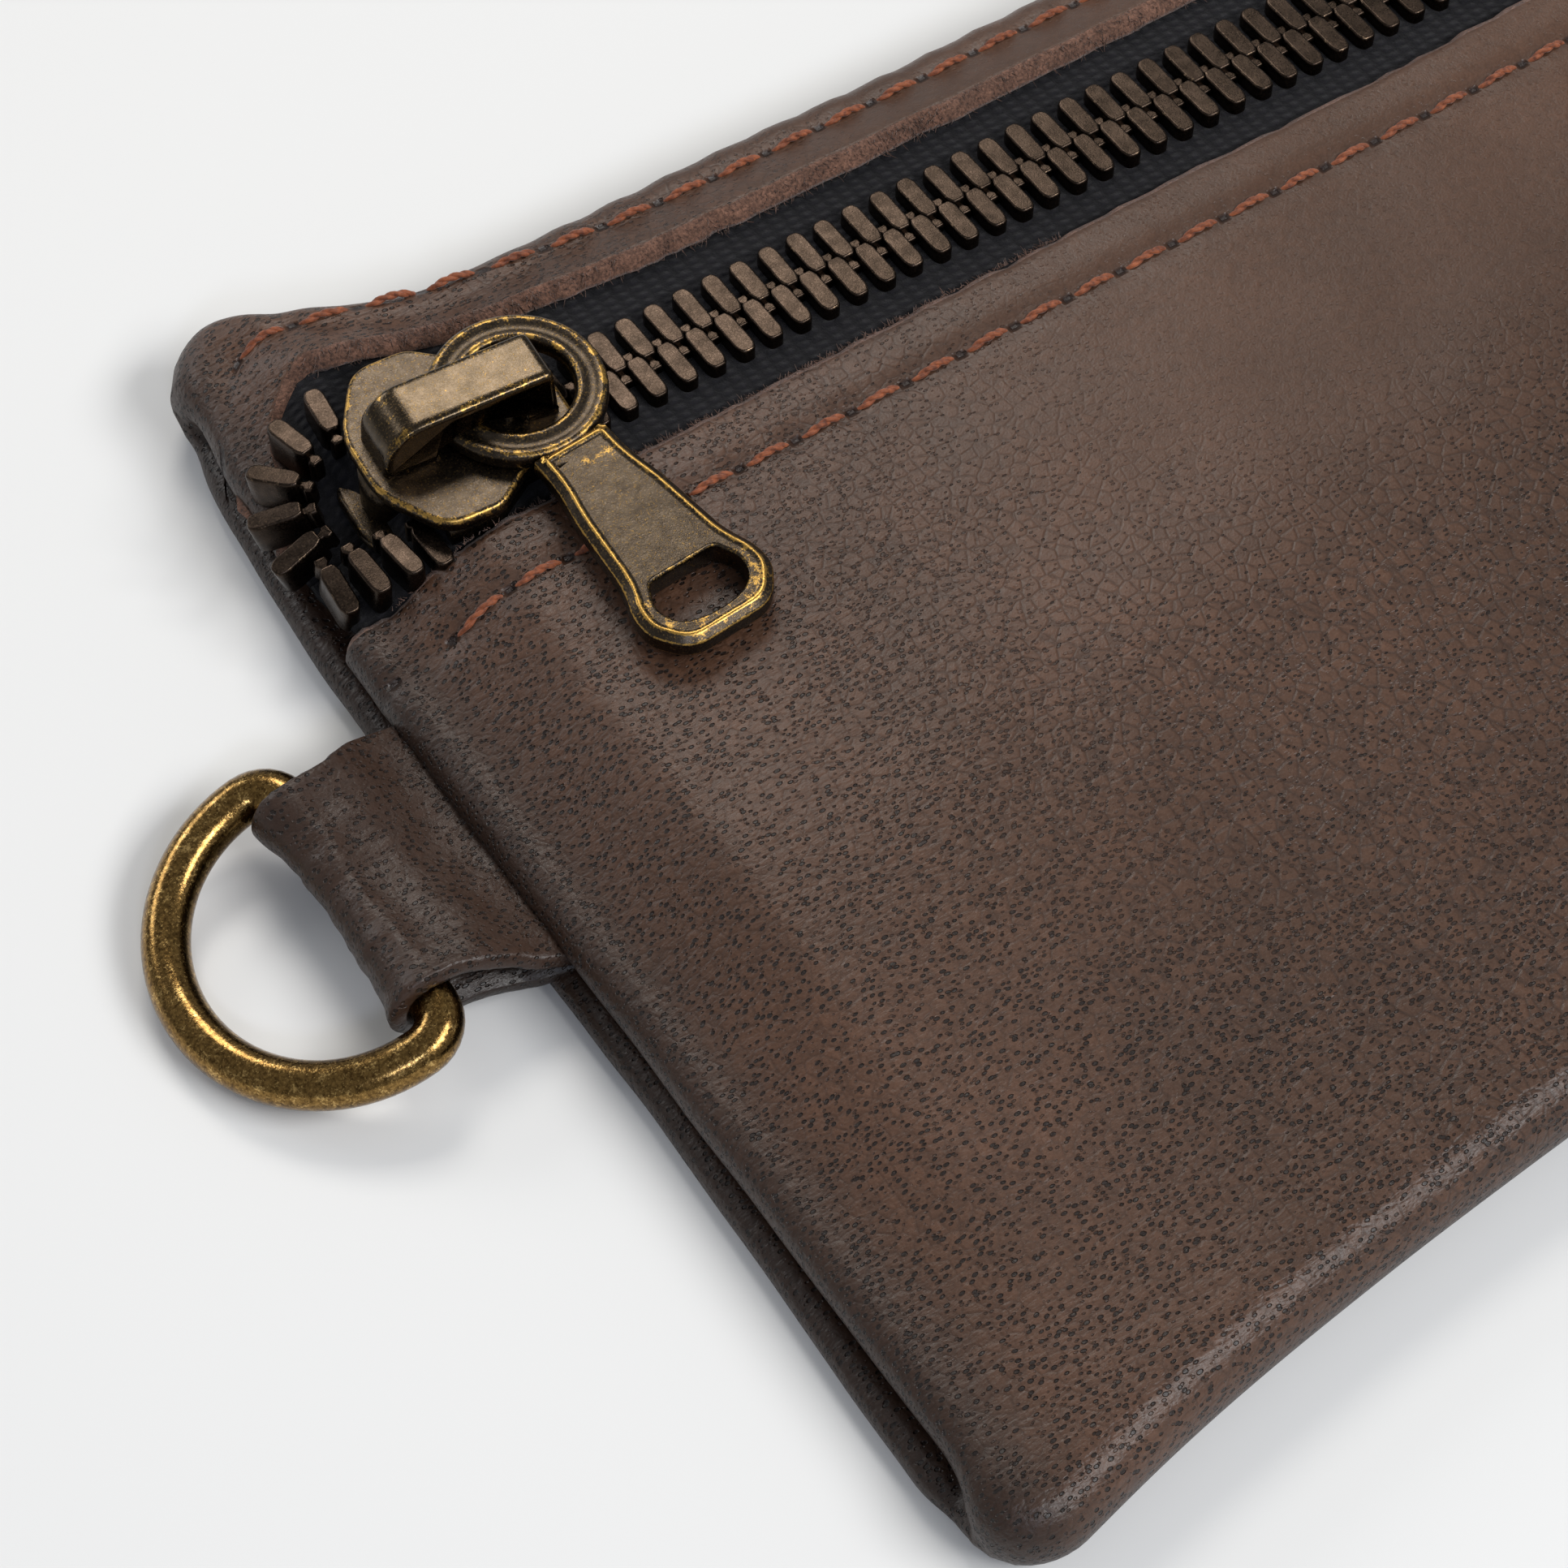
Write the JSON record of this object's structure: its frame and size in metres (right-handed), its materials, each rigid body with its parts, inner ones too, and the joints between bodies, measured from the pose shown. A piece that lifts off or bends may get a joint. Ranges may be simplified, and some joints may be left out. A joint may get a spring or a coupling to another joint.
{
  "type": "zippered pouch",
  "caption": "Flat leather pouch with a metal zipper under its top fold, a locking slider with a swinging pull, and a D-ring on a folded leather tab in one side seam.",
  "frame": {"origin": "middle of the flat back that the pouch lies on", "axes": "+X along the zipper away from the D-ring, +Y towards the top fold, +Z out of the front"},
  "size_m": [0.2287, 0.1141, 0.0164],
  "materials": {
    "brown_leather": "waxed, with a fine pebble grain",
    "black_tape": "woven zipper tape",
    "antique_teeth": "antique, grey-brown",
    "antique_slider": "antique, dark and rubbed at its edges",
    "antique_ring": "antique, golden with dark mottling",
    "spring_steel": "bare spring steel",
    "rust_thread": "waxed rust-brown thread"
  },
  "bodies": {
    "pouch": {"leather_body": "brown_leather", "dring_tab": "brown_leather", "zipper_tape_upper": "black_tape", "zipper_tape_lower": "black_tape", "teeth_row_upper": "antique_teeth", "teeth_row_lower": "antique_teeth", "end_tooth_upper_1": "antique_teeth", "end_tooth_upper_2": "antique_teeth", "end_tooth_upper_3": "antique_teeth", "end_tooth_upper_4": "antique_teeth", "end_tooth_upper_5": "antique_teeth", "end_tooth_lower_1": "antique_teeth", "end_tooth_lower_2": "antique_teeth", "end_tooth_lower_3": "antique_teeth", "end_tooth_lower_4": "antique_teeth", "front_topstitch": "rust_thread", "strip_topstitch": "rust_thread", "side_seam_thread_left": "rust_thread", "side_seam_thread_right": "rust_thread"},
    "slider": {"slider_body": "antique_slider", "slider_crown": "antique_slider"},
    "pawl": {"lock_pawl": "spring_steel"},
    "pull": {"pull": "antique_slider"},
    "ring": {"d_ring": "antique_ring"}
  },
  "joints": [
    {"name": "slider_travel", "type": "slide", "parent": "pouch", "child": "slider", "axis": [1, 0, 0], "range_m": [0, 0.17], "deforming": ["zipper_tape_upper", "zipper_tape_lower", "teeth_row_upper", "teeth_row_lower"]},
    {"name": "pull_swing", "type": "hinge", "parent": "slider", "child": "pull", "pos_m": [-0.0825, 0.035, 0.01355], "axis": [0, -0.0436, 0.999], "range_deg": [-5, 180]},
    {"name": "lock_pawl_lift", "type": "hinge", "parent": "slider", "child": "pawl", "pos_m": [-0.0911, 0.035, 0.0148], "axis": [0, -1, 0], "range_deg": [0, 3], "stiffness_Nm_per_rad": 0.02},
    {"name": "d_ring_swing", "type": "hinge", "parent": "pouch", "child": "ring", "pos_m": [-0.1115, 0.009, 0.005], "axis": [0, 1, 0], "range_deg": [0, 140]}
  ]
}
